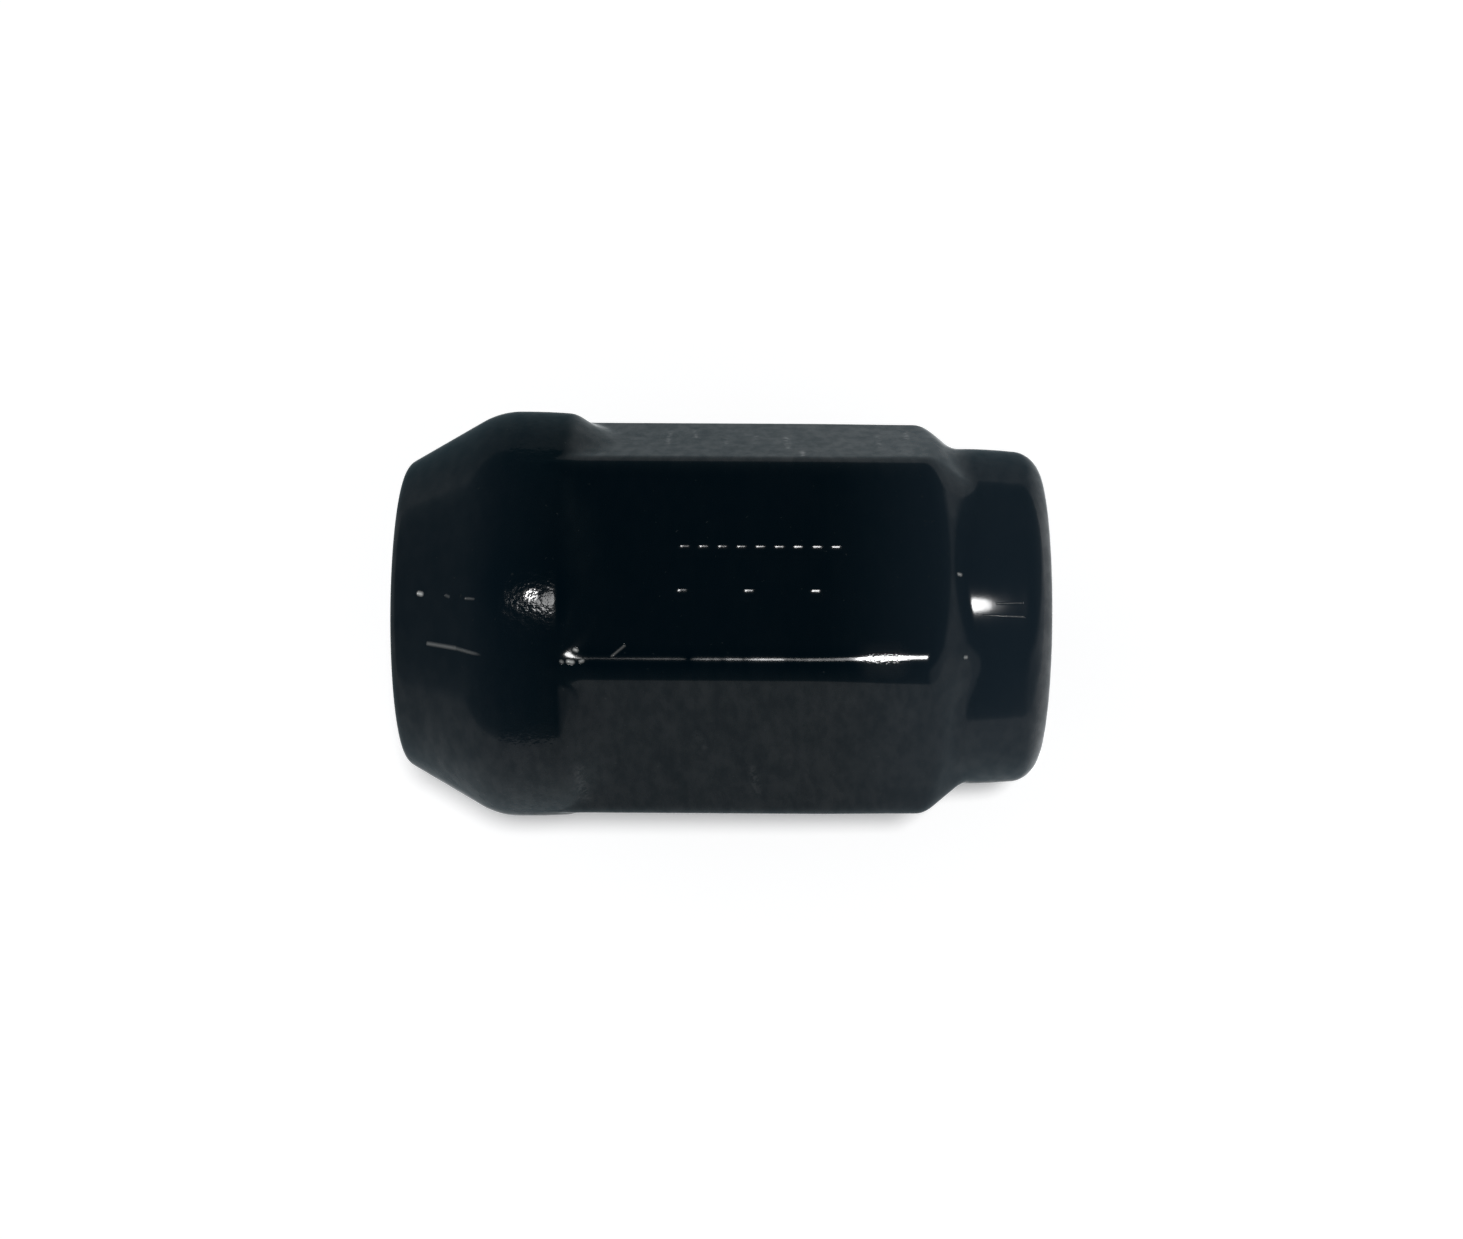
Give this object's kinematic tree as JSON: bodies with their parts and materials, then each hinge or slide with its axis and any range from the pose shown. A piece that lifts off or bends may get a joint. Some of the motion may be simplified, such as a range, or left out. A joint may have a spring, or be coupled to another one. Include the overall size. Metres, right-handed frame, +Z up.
{
  "type": "lug nut",
  "caption": "Closed-end bulge lug nut in gloss black: a hexagon with a round cap at one end and a conical seat with a blind threaded hole at the other, for holding a wheel on its stud.",
  "frame": {"origin": "middle of the nut's box, on the surface that it lies on", "axes": "+X towards the closed end, +Z up from the surface; the nut's own axis lies in the XZ plane and leans 3.50 degrees, with the open end higher, because the nut rests on its bulge and on the far end of one flat"},
  "size_m": [0.0342, 0.0214, 0.0216],
  "materials": {
    "gloss_black": "gloss"
  },
  "bodies": {
    "root": {"lug_nut": "gloss_black"}
  },
  "joints": []
}
